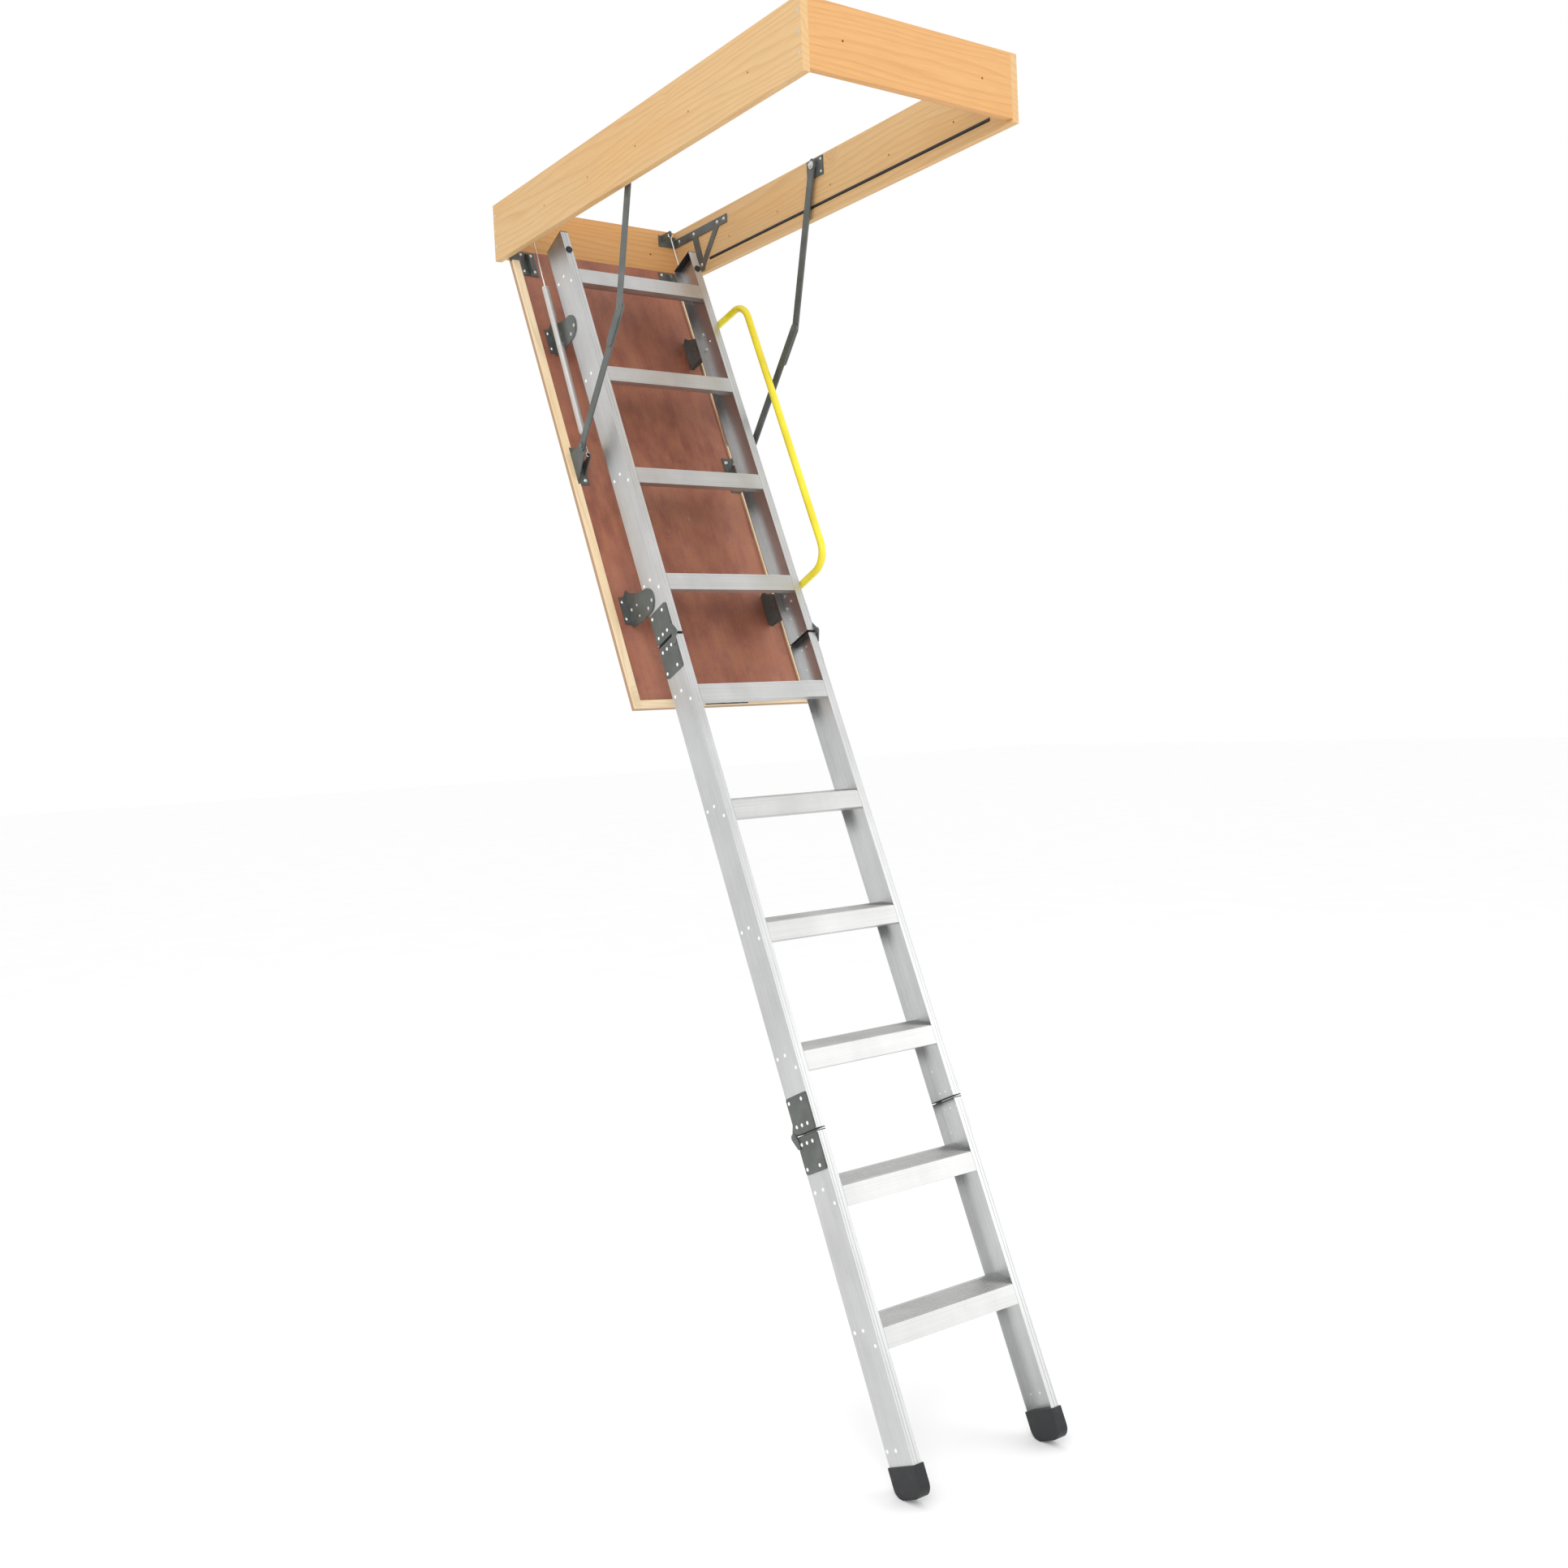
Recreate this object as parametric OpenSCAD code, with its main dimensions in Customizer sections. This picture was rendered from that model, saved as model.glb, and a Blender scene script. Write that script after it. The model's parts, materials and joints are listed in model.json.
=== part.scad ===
// Folding attic ladder: a wooden hatch frame with a hinged hatch door that carries a three-section
// aluminium ladder, shown open and unfolded.
// Origin: centre of the frame, level with the underside of its end boards. +Z up, +X to the right
// of a person facing the steps, +Y towards the hinge end of the frame.
// The door and the ladder are drawn lying closed, with their origin on the hinge axis, and are then
// turned down by the open angle. In that lying position y is minus the distance down the ladder
// (called u below) and z is the height above the hinge axis (called v below).

/* [Hatch frame] */
// Outer width of the frame
frame_w = 588; // [560:1:620]
// Outer length of the frame
frame_l = 1434; // [1400:1:1500]
// Height of the frame boards
board_h = 142; // [138:1:160]
// Thickness of the frame boards
board_t = 18; // [16:1:22]
// How far the side boards reach below the end boards
side_drop = 8; // [0:1:12]
// Distance between neighbouring screw holes along a side board
screw_pitch = 235; // [200:5:240]
// Radius of the joist screw holes
screw_hole_r = 2.75; // [2:0.25:4]

/* [Hatch door] */
// Angle of the open door below the ceiling
open_angle = 66.3; // [60:0.1:72]
// Distance from the hinge axis to the inner face of the hinge-end board
hinge_inset = 30; // [29:1:40]
// Gap between the door's side edges and the frame
door_side_gap = 5.5; // [5:0.5:8]
// Thickness of the plywood door panel
panel_t = 12; // [9:1:15]
// Depth of the panel's upper face below the hinge axis, with the door closed
panel_drop = 4; // [2:1:6]
// Thickness of the pine trim around the door
trim_t = 6; // [4:1:8]
// Width of the pine trim around the door
trim_w = 20; // [16:1:26]

/* [Ladder] */
// Width over the rails
ladder_w = 422; // [400:1:430]
// Depth of a rail, front to back
rail_depth = 88; // [80:1:92]
// Width of a rail flange
flange_w = 22; // [18:1:26]
// Height of the rails' back above the hinge axis, with the door closed
rail_back = 84; // [80:1:90]
// Distance between steps along the rails
step_pitch = 304.8; // [300:0.1:306]
// Distance from the hinge axis to the first step's nose
first_step = 167; // [160:1:175]
// Depth of a tread
tread_depth = 80; // [74:1:84]

/* [Handrail] */
// Radius of the handrail tube
handrail_r = 9.5; // [8:0.5:10]
// Height of the grip above the hinge axis, with the door closed
grip_v = 285; // [260:1:300]
// Radius of the handrail's bends
grip_bend = 55; // [40:1:60]

/* [Hidden] */
$fn = 48;
eps = 0.01;

PINE = "#d9b27c";
PLYWOOD = "#96543a";
STEEL = "#33373b";
ZINC = "#b9bdc2";
ALUMINIUM = "#c6c8ca";
YELLOW = "#e8c21c";
BLACK = "#1b1b1c";

left = -1;
right = 1;

// Frame
half_w = frame_w / 2;
half_l = frame_l / 2;
board_in = half_w - board_t;
screw_z = 56;
screw_mid_y = -55;
end_screw_x = 190;
end_screw_z = 70;
corner_screw_z = [30, 71, 112];
corner_screw_r = 4;
corner_screw_l = 28;
corner_sink = 2.5;
seal_z = 18;
seal_h = 8;
seal_depth = 4;
seal_out = 2.5;
seal_start_y = 515;
seal_end_y = -645;

// Hinge axis of the door, in the Y-Z plane
hinge_y = half_l - board_t - hinge_inset;
door_half = board_in - door_side_gap;
door_back_u = -(hinge_inset - 8);
door_near_u = hinge_y + half_l - board_t - 3;
panel_top = -panel_drop;
door_in = panel_top + trim_t;
corner_u = 16;
pin_r = 4;
run_gap = 0.06;

// Steel plates that hang the door
plate_t = 3;
hanger_x = board_in - plate_t;
hanger_z = 97;
hanger_h = 23;
hanger_end_y = 420;
hanger_apex_y = 556;
hanger_apex_z = 6;
strut_w = 13;
strut_top_y = [hanger_apex_y - 82, hanger_apex_y + 30];

// Springs
spring_x = 229;
spring_r = 10;
wire_r = 1.6;
loop_r = 6;
spring_y = 651;
spring_z = 120;
spring_u = 663;
spring_v = 40;
ear_r = 9;
ear_hole_r = 4;
ear_half_t = 1.5;
coil_start = 245;
coil_end = 65;

// Folding arms: frame pivot, elbow and door pivot
arm_y = 3.5;
arm_z = 121;
elbow_y = 108.5;
elbow_z = -273;
arm_u = 650;
arm_v = 70.5;
arm_base_u = [arm_u - 38, arm_u + 72];
arm_base_x = [222, 256.5];
arm_t = 4;
arm_half_w = 12;
upper_arm_x = 262.5;
lower_arm_x = 257.5;
arm_tail_l = 90;
arm_tail_half = 11.5;
arm_pin_r = 5;
arm_washer_r = 8;

// Rails
rail_out = ladder_w / 2;
web_t = 2.2;
web_in = rail_out - web_t;
flange_in = rail_out - flange_w;
groove_x = [rail_out - 5, rail_out - 13];
groove_w = 1.6;
groove_depth = 0.7;
rail_front = rail_back + rail_depth;
rail_top_u = 51;
joint_gap = 3;
top_joint_u = 1245;
top_joint_v = rail_front + joint_gap;
low_joint_u = 2474;
low_joint_v = rail_back - joint_gap;
rail_end_u = 3203;
cap_t = 2;
cap_lip = 0.6;
rail_cut = joint_gap / 2 + cap_t;
bumper_x = 200;
bumper_u = 108;
bumper_r = 9;
bumper_h = 3;

// Joint plates: a is measured along the rail from the pin, b out of the rail past its edge
joint_plate_a = [3.8, 87];
joint_plate_b = [-88, -6];
joint_corner_r = 6;
ear_start = [28, -6];
ear_root = [[10, -15], [28, -15]];
joggle_a = [14, 28];
lug_r = 9;
lug_room_r = 10.2;
joint_pin_r = 3.5;
slide_gap = 0.15;
near_row = 20;
far_row = 75;
near_rivets = [rail_back + 17, rail_back + 39, rail_back + 62];
far_rivets = [rail_back + 12, rail_back + 64];

// Rivets and bolts
rivet_r = 2.4;
rivet_head_r = 4.4;
rivet_head_h = 2;
hole_gap = 0.1;
bolt_r = 3;
nut_r = 5.6;
nut_h = 3;

// Steps
tread_wall = 2.4;
skirt_h = 44;
back_skirt_h = 24;
rib_h = 1;
rib_w = 2.4;
rib_count = 9;
rib_pitch = 8;
end_plate_t = 3;
flange_v = [rail_back + web_t + 0.3, rail_front - web_t - 0.3];
step_rivets = [[-5, 129], [-4, 96], [30, 158]];

// Ladder brackets
bracket_head = [-2, 94];
bracket_head_r = 33;
bracket_bolts = [[6, 116], [16, 92]];
bracket_rivets = [[-20, 16, 5.5], [-18, 46, 3.6], [12, 46, 3.6]];
bracket_foot_x = 230;
bracket_foot_u = [-66, 10];
bracket_foot_rivet_x = 222;
bracket_foot_du = [-52, -4];
upper_bracket_u = 302;
lower_bracket_u = 1120;

// Handrail
grip_x = 225.5;
upper_leg_u = 272;
lower_leg_u = 1102;
upper_leg_tilt = 10;
lower_leg_tilt = 0;
bend_swell = 0.05;
bend_lap = 1;
leg_bolt_v = 97;
tab_t = 5;
tab_half = 12;
tab_room = [[upper_leg_u - 24, upper_leg_u + 22], [lower_leg_u - 24, lower_leg_u + 13]];
flare_start = 14;
flare_end = 33.8;
flare_r = 18.9;
flare_half = 12;

// Feet
boot_start_u = 3184;
boot_end_u = 3250;
boot_wall = 3;
boot_round = 26;
boot_rivets = [[3152, rail_back + 8], [3152, rail_back + 40]];

// ---------------------------------------------------------------- helpers

// Places children drawn in the closed door's own position onto the open door.
module on_door() {
    translate([0, hinge_y, 0]) rotate([open_angle, 0, 0]) children();
}

// A flat plate of outline [[u, v], ...] between two x values, in the door's lying position.
module uv_plate(x0, x1, points) {
    translate([min(x0, x1), 0, 0]) rotate([90, 0, 90])
        linear_extrude(abs(x1 - x0)) polygon([for (p = points) [-p[0], p[1]]]);
}

// A flat plate of outline [[y, z], ...] between two x values, in the frame.
module yz_plate(x0, x1, points) {
    translate([min(x0, x1), 0, 0]) rotate([90, 0, 90]) linear_extrude(abs(x1 - x0)) polygon(points);
}

// A box between two values on each axis.
module span(x, y, z) {
    translate([min(x[0], x[1]), min(y[0], y[1]), min(z[0], z[1])])
        cube([abs(x[1] - x[0]), abs(y[1] - y[0]), abs(z[1] - z[0])]);
}

// A box in the door's lying position, given by x, u and v spans.
module uv_box(x, u, v) {
    span(x, [-u[0], -u[1]], v);
}

// A cylinder along X between two x values.
module rod_x(x0, x1, r, y, z) {
    translate([min(x0, x1), y, z]) rotate([0, 90, 0]) cylinder(h = abs(x1 - x0), r = r);
}

module uv_rod(x0, x1, r, u, v) {
    rod_x(x0, x1, r, -u, v);
}

// A flat plate with four rounded corners, in the door's lying position.
module uv_round_plate(x0, x1, u, v, r) {
    uv_box([x0, x1], [u[0] + r, u[1] - r], v);
    uv_box([x0, x1], u, [v[0] + r, v[1] - r]);
    for (cu = [u[0] + r, u[1] - r], cv = [v[0] + r, v[1] - r]) uv_rod(x0, x1, r, cu, cv);
}

// A domed head standing out along X from x0, on the given side.
module dome_x(x0, side, r, h, y, z) {
    ball = (r * r + h * h) / (2 * h);
    translate([x0, y, z]) rotate([0, 90 * side, 0]) intersection() {
        translate([0, 0, h - ball]) sphere(r = ball);
        cylinder(h = h, r = r);
    }
}

// A straight flat bar with round ends between two points of the frame's Y-Z plane.
module flat_bar(x0, x1, a, b, half, tail, nose) {
    angle = atan2(b[1] - a[1], b[0] - a[0]);
    length = norm([b[0] - a[0], b[1] - a[1]]);
    translate([min(x0, x1), a[0], a[1]]) rotate([angle, 0, 0]) {
        span([0, abs(x1 - x0)], [-tail, length + nose], [-half, half]);
        for (y = [-tail, length + nose]) rod_x(0, abs(x1 - x0), half, y, 0);
    }
}

// A rivet or bolt through a plate: a shank with a domed head on the outer side.
module rivet(side, x_out, x_in, u, v) {
    uv_rod(side * (x_out + 1), side * x_in, rivet_r, u, v);
    dome_x(side * x_out, side, rivet_head_r, rivet_head_h, -u, v);
}

function nose_u(k) = first_step + (k - 1) * step_pitch;

// Points of a step in the lying position: d goes back from the nose, h goes down, both measured
// with the ladder open.
function tread_u(k, d, h) = nose_u(k) - d * cos(open_angle) + h * sin(open_angle);
function tread_v(d, h) = rail_front - d * sin(open_angle) - h * cos(open_angle);

// ---------------------------------------------------------------- hatch frame

module side_board(side) {
    color(PINE) difference() {
        span([side * board_in, side * half_w], [-half_l, half_l], [-side_drop, board_h]);
        for (i = [-2:2])
            rod_x(side * (board_in - 1), side * (half_w + 1), screw_hole_r,
                i * screw_pitch + screw_mid_y, screw_z);
        span([side * (board_in - 1), side * (board_in + seal_depth)], [seal_end_y, seal_start_y],
            [seal_z, seal_z + seal_h]);
        rod_x(side * (board_in - 1), side * (board_in + seal_depth), pin_r + 1, hinge_y, 0);
        for (z = corner_screw_z, end = [-1, 1]) {
            rod_x(side * board_in, side * (half_w + 1), corner_screw_r / 2 + hole_gap,
                end * (half_l - board_t / 2), z);
            rod_x(side * (half_w - corner_sink), side * (half_w + 1), corner_screw_r + hole_gap,
                end * (half_l - board_t / 2), z);
        }
    }
}

module left_frame_board() { side_board(left); }
module right_frame_board() { side_board(right); }

module end_board(end) {
    color(PINE) difference() {
        span([-board_in, board_in], [end * (half_l - board_t), end * half_l], [0, board_h]);
        for (side = [left, right]) {
            translate([side * end_screw_x, end * half_l, end_screw_z]) rotate([90, 0, 0])
                translate([0, 0, -board_t * 2]) cylinder(h = board_t * 4, r = screw_hole_r);
            for (z = corner_screw_z)
                rod_x(side * (board_in + 1), side * (board_in - corner_screw_l - 1),
                    corner_screw_r / 2 + hole_gap, end * (half_l - board_t / 2), z);
        }
    }
}

module hinge_end_board() { end_board(1); }
module near_end_board() { end_board(-1); }

// Corner screws: a shank into the end board and a flat head sunk flush into the side board.
module frame_screws() {
    color(ZINC) for (side = [left, right], end = [-1, 1], z = corner_screw_z) {
        y = end * (half_l - board_t / 2);
        rod_x(side * (board_in - corner_screw_l), side * (half_w - 1), corner_screw_r / 2, y, z);
        rod_x(side * (half_w - corner_sink), side * half_w, corner_screw_r, y, z);
    }
}

// Rubber door seals pressed into grooves of the side boards.
module seal_strips() {
    color(BLACK) for (side = [left, right]) {
        span([side * (board_in - seal_out), side * (board_in + seal_depth)], [seal_end_y, seal_start_y],
            [seal_z + 1.5, seal_z + seal_h - 1.5]);
        span([side * board_in, side * (board_in + seal_depth)], [seal_end_y, seal_start_y],
            [seal_z, seal_z + seal_h]);
    }
}

// ---------------------------------------------------------------- hangers on the frame

hanger_bolt_yz = [[434, hanger_z + hanger_h / 2], [468, hanger_z + hanger_h / 2],
    [592, hanger_z + hanger_h / 2], [672, hanger_z + hanger_h / 2], [hanger_apex_y, 12]];

// A hanger: a bar along the side board, a V of two struts that carries the door's pivot below it,
// and a bent end on the hinge-end board with the eye that holds the spring.
module hinge_hanger(side) {
    inner_y = half_l - board_t;
    color(STEEL) difference() {
        union() {
            yz_plate(side * hanger_x, side * board_in, [
                [hanger_end_y, hanger_z], [inner_y, hanger_z],
                [inner_y, hanger_z + hanger_h], [hanger_end_y, hanger_z + hanger_h]]);
            for (top_y = strut_top_y) yz_plate(side * hanger_x, side * board_in, [
                [hanger_apex_y - strut_w, hanger_apex_z], [hanger_apex_y + strut_w, hanger_apex_z],
                [top_y + strut_w, hanger_z + 1], [top_y - strut_w, hanger_z + 1]]);
            yz_plate(side * hanger_x, side * board_in, [
                [hanger_apex_y - strut_w, -2], [hinge_y, -10], [hinge_y, 10],
                [hanger_apex_y + strut_w, 26], [hanger_apex_y - strut_w, 26]]);
            rod_x(side * hanger_x, side * board_in, 10, hinge_y, 0);
            // bent end on the hinge-end board
            span([side * (spring_x - 10), side * board_in], [inner_y - plate_t, inner_y],
                [hanger_z, hanger_z + hanger_h + 8]);
            // eye for the spring
            span([side * (spring_x - ear_half_t), side * (spring_x + ear_half_t)],
                [spring_y, inner_y - plate_t + eps], [spring_z - 8, spring_z + 8]);
            rod_x(side * (spring_x - ear_half_t), side * (spring_x + ear_half_t), ear_r,
                spring_y, spring_z);
        }
        rod_x(side * (hanger_x - 1), side * (board_in + 1), pin_r + run_gap, hinge_y, 0);
        rod_x(side * (spring_x - 4), side * (spring_x + 4), ear_hole_r, spring_y, spring_z);
        for (p = hanger_bolt_yz)
            rod_x(side * (hanger_x - 1), side * (board_in + 1), 3 + hole_gap, p[0], p[1]);
    }
}

module left_hinge_hanger() { hinge_hanger(left); }
module right_hinge_hanger() { hinge_hanger(right); }

// Bolts that hold the hangers: a domed head inside, its shank only as long as the plate.
module hanger_bolts() {
    color(ZINC) for (side = [left, right], p = hanger_bolt_yz) {
        rod_x(side * hanger_x, side * board_in, 3, p[0], p[1]);
        dome_x(side * hanger_x, -side, 6, 2.6, p[0], p[1]);
    }
}

// Plates that carry the folding arms' upper pivots.
module arm_mount_plates() {
    color(STEEL) for (side = [left, right]) difference() {
        union() {
            span([side * hanger_x, side * board_in], [arm_y - 34, arm_y + 34], [arm_z - 30, arm_z + 18]);
            rod_x(side * (upper_arm_x + arm_t + 0.3), side * (hanger_x + eps), 9, arm_y, arm_z);
        }
        rod_x(side * (upper_arm_x + 1), side * (board_in + 1), arm_pin_r + run_gap, arm_y, arm_z);
    }
}

// Studs of the upper pivots, with a washer-like head inside the arm, and the plates' screws.
module arm_pivot_studs() {
    color(ZINC) for (side = [left, right]) {
        rod_x(side * (upper_arm_x - 1), side * board_in, arm_pin_r, arm_y, arm_z);
        rod_x(side * (upper_arm_x - 0.4), side * (upper_arm_x - 2), 10, arm_y, arm_z);
        dome_x(side * (upper_arm_x - 2), -side, 7.5, 2.6, arm_y, arm_z);
        for (y = [arm_y - 25, arm_y + 25], z = [arm_z - 21, arm_z + 10])
            dome_x(side * hanger_x, -side, 4, 2, y, z);
    }
}

// Strike plate that the door's latch meets.
module strike_plate() {
    y_in = -(half_l - board_t);
    color(STEEL) difference() {
        span([-28, 28], [y_in, y_in + 2], [1, 23]);
        span([-11, 11], [y_in - 1, y_in + 3], [7, 17]);
    }
}

// ---------------------------------------------------------------- hatch door

module door_panel() {
    color(PLYWOOD) on_door() difference() {
        uv_box([-door_half, door_half], [door_back_u, door_near_u], [panel_top - panel_t, panel_top]);
        // hole for the pole that opens the latch
        translate([0, -(door_near_u - 45), panel_top - panel_t - 1]) cylinder(h = panel_t + 2, r = 7);
    }
}

// Pine laths along the door's sides and its near end: the side laths start below the hinge brackets.
module door_trim() {
    color(PINE) on_door() {
        for (side = [left, right]) difference() {
            uv_box([side * (door_half - trim_w), side * door_half], [corner_u, door_near_u],
                [panel_top, door_in]);
            // notch for the arm bracket
            uv_box([side * (door_half - trim_w - 1), side * (arm_base_x[1] + 0.5)],
                [arm_base_u[0] - 0.5, arm_base_u[1] + 0.5], [panel_top - 1, door_in + 1]);
        }
        uv_box([-(door_half - trim_w), door_half - trim_w], [door_near_u - trim_w, door_near_u],
            [panel_top, door_in]);
    }
}

hinge_rivet_xu = [[210, -8], [240, -8], [210, 46], [240, 46]];

// Hinge bracket: a base riveted on the panel, an arm out to the door's side edge that carries the
// pivot pin, and a standing rib.
module door_hinge_bracket(side) {
    leg_x = door_half + 2;
    base_v = [panel_top, panel_top + plate_t];
    color(STEEL) on_door() difference() {
        union() {
            uv_box([side * 200, side * (door_half - trim_w - 1)], [-16, 60], base_v);
            uv_box([side * 200, side * leg_x], [-16, corner_u - 2], base_v);
            uv_box([side * door_half, side * leg_x], [-13, 13], [panel_top - 4, 4]);
            uv_rod(side * door_half, side * leg_x, 9, 0, 0);
            uv_rod(side * door_half, side * (board_in + 3), pin_r, 0, 0);
            uv_plate(side * 224, side * 227, [[-14, panel_top + 1], [58, panel_top + 1],
                [54, panel_top + 20], [4, panel_top + 20]]);
        }
        for (p = hinge_rivet_xu) base_hole(side * p[0], p[1]);
    }
}

module left_door_hinge() { door_hinge_bracket(left); }
module right_door_hinge() { door_hinge_bracket(right); }

// The hole for a rivet in a base plate on the panel, and the rivet itself.
module base_hole(x, u) {
    translate([x, -u, panel_top - 1]) cylinder(h = plate_t + 2, r = rivet_r + hole_gap);
}

module base_rivet(x, u, r, h) {
    ball = (r * r + h * h) / (2 * h);
    translate([x, -u, panel_top]) cylinder(h = plate_t, r = rivet_r);
    translate([x, -u, panel_top + plate_t]) intersection() {
        translate([0, 0, h - ball]) sphere(r = ball);
        cylinder(h = h, r = r);
    }
}

module door_hinge_rivets() {
    color(ZINC) on_door() for (side = [left, right], p = hinge_rivet_xu)
        base_rivet(side * p[0], p[1], 5, 2.4);
}

arm_bracket_bolt_xu = [[232, arm_u - 24], [232, arm_u + 58]];

// Bracket on the door with the lower arm's pivot and the eye of the spring.
module arm_bracket(side) {
    leg_x = [side * (arm_base_x[1] - plate_t), side * arm_base_x[1]];
    ear_x = [side * (spring_x - ear_half_t), side * (spring_x + ear_half_t)];
    color(STEEL) on_door() difference() {
        union() {
            uv_box(side * arm_base_x, arm_base_u, [panel_top, panel_top + plate_t]);
            uv_plate(leg_x[0], leg_x[1], [[arm_u - 18, panel_top + 1], [arm_u + 66, panel_top + 1],
                [arm_u + 18, arm_v], [arm_u, arm_v + 12], [arm_u - 12, arm_v]]);
            uv_rod(leg_x[0], leg_x[1], 14, arm_u, arm_v);
            uv_rod(leg_x[0], side * (lower_arm_x + arm_t + 0.5), arm_pin_r, arm_u, arm_v);
            uv_rod(side * (lower_arm_x + arm_t + 0.4), side * (lower_arm_x + arm_t + 2.4), arm_washer_r,
                arm_u, arm_v);
            uv_plate(ear_x[0], ear_x[1], [[spring_u - 4, panel_top + 1], [spring_u + 34, panel_top + 1],
                [spring_u + 9, spring_v], [spring_u, spring_v]]);
            uv_rod(ear_x[0], ear_x[1], ear_r, spring_u, spring_v);
        }
        uv_rod(side * (spring_x - 4), side * (spring_x + 4), ear_hole_r, spring_u, spring_v);
        for (p = arm_bracket_bolt_xu) base_hole(side * p[0], p[1]);
    }
}

module left_arm_bracket() { arm_bracket(left); }
module right_arm_bracket() { arm_bracket(right); }

module arm_bracket_bolts() {
    color(ZINC) on_door() for (side = [left, right], p = arm_bracket_bolt_xu)
        base_rivet(side * p[0], p[1], 6, 3.4);
}

// Latch on the near end of the door: a plate over the trim and a housing with its tongue.
module latch_plate() {
    u1 = door_near_u - 1;
    color(STEEL) on_door() {
        uv_box([-64, 64], [u1 - 22, u1], [door_in, door_in + 2]);
        uv_box([-24, 24], [u1 - 20, u1 - 2], [door_in + 2 - eps, door_in + 14]);
        uv_box([-9, 9], [u1 - 3, u1 + 1], [door_in + 7, door_in + 13]);
        for (side = [left, right])
            uv_box([side * 50, side * 64], [u1 - 24, u1 + 1], [door_in, door_in + 4]);
    }
}

// ---------------------------------------------------------------- ladder to door

// Outline of a ladder bracket's plate below its round head, as distance down the ladder from the
// bracket's centre and height.
bracket_outline = [[-70, panel_top], [-79, 12], [-62, 28], [-46, 58],
    bracket_head - [bracket_head_r, 0], bracket_head + [bracket_head_r, 0],
    [31, 50], [24, 6], [14, panel_top]];

// Bracket that holds a rail above the door: a shaped plate on the rail's outer side, turned out to a
// narrow foot that is riveted on the panel, and a doubler riveted behind it below the rail.
module ladder_bracket(side, centre) {
    x = [side * rail_out, side * (rail_out + plate_t)];
    difference() {
        union() {
            uv_plate(x[0], x[1], [for (p = bracket_outline) [centre + p[0], p[1]]]);
            uv_rod(x[0], x[1], bracket_head_r, centre + bracket_head[0], bracket_head[1]);
            uv_box([side * (rail_out - plate_t), side * (rail_out + 1)], [centre - 34, centre + 22],
                [4, 60]);
            uv_box([x[0], side * bracket_foot_x], [centre + bracket_foot_u[0], centre + bracket_foot_u[1]],
                [panel_top, panel_top + plate_t]);
        }
        for (p = bracket_bolts)
            uv_rod(side * (rail_out - 1), side * (rail_out + 5), bolt_r + hole_gap, centre + p[0], p[1]);
        for (p = bracket_rivets)
            uv_rod(side * (rail_out - 5), side * (rail_out + 5), rivet_r + hole_gap, centre + p[0], p[1]);
        for (du = bracket_foot_du) base_hole(side * bracket_foot_rivet_x, centre + du);
        // room for the handrail's tabs on the right rail
        if (side == right) for (u = tab_room)
            uv_box([rail_out - 1, rail_out + 4], u, [leg_bolt_v - tab_half - 1, leg_bolt_v + 60]);
    }
}

module upper_ladder_brackets() {
    color(STEEL) on_door() for (side = [left, right]) ladder_bracket(side, upper_bracket_u);
}
module lower_ladder_brackets() {
    color(STEEL) on_door() for (side = [left, right]) ladder_bracket(side, lower_bracket_u);
}

module ladder_bracket_bolts() {
    color(ZINC) on_door() for (side = [left, right], centre = [upper_bracket_u, lower_bracket_u]) {
        for (p = bracket_bolts) rail_bolt(side, rail_out + plate_t, centre + p[0], p[1], 5, 1.8);
        for (p = bracket_rivets) {
            uv_rod(side * (rail_out + plate_t + 0.5), side * (rail_out - plate_t), rivet_r,
                centre + p[0], p[1]);
            dome_x(side * (rail_out + plate_t), side, p[2], p[2] / 2, -(centre + p[0]), p[1]);
        }
        for (du = bracket_foot_du) base_rivet(side * bracket_foot_rivet_x, centre + du, 5, 2.4);
    }
}

// A bolt through a rail's web: a domed head outside and a hexagon nut inside.
module rail_bolt(side, x_out, u, v, head_r, head_h) {
    uv_rod(side * x_out, side * (web_in - nut_h), bolt_r, u, v);
    dome_x(side * x_out, side, head_r, head_h, -u, v);
    translate([side * (web_in - nut_h / 2), -u, v]) rotate([0, 90, 0])
        cylinder(h = nut_h, r = nut_r, center = true, $fn = 6);
}

// ---------------------------------------------------------------- rails

// Cross-section of a rail: a channel open towards the middle of the ladder, with two fine grooves
// along each flange.
module channel(side, clear) {
    difference() {
        union() {
            span2([side * (rail_out + clear), side * (web_in - clear)],
                [rail_back - clear, rail_front + clear]);
            for (v = [rail_back, rail_front - web_t])
                span2([side * (rail_out + clear), side * (flange_in - clear)],
                    [v - clear, v + web_t + clear]);
        }
        if (clear == 0)
            for (x = groove_x, v = [rail_back - 1, rail_front - groove_depth])
                span2([side * x, side * (x + groove_w)], [v, v + 1 + groove_depth]);
    }
}

module span2(x, y) {
    translate([min(x[0], x[1]), min(y[0], y[1])]) square([abs(x[1] - x[0]), abs(y[1] - y[0])]);
}

// A length of rail from u0 to u1 in the lying position.
module rail_blank(side, u0, u1, clear = 0) {
    translate([0, -u0, 0]) rotate([90, 0, 0]) linear_extrude(u1 - u0) channel(side, clear);
}

// Holes through a rail's web at a list of [u, v].
module web_holes(side, points, r) {
    for (p = points) uv_rod(side * (rail_out + 1), side * (web_in - 1), r, p[0], p[1]);
}

function step_holes(first, last) =
    [for (k = [first:last], p = step_rivets) [nose_u(k) + p[0], p[1]]];
function joint_holes(centre, dir) = concat(
    [for (v = near_rivets) [centre + dir * near_row, v]],
    [for (v = far_rivets) [centre + dir * far_row, v]]);

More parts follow.
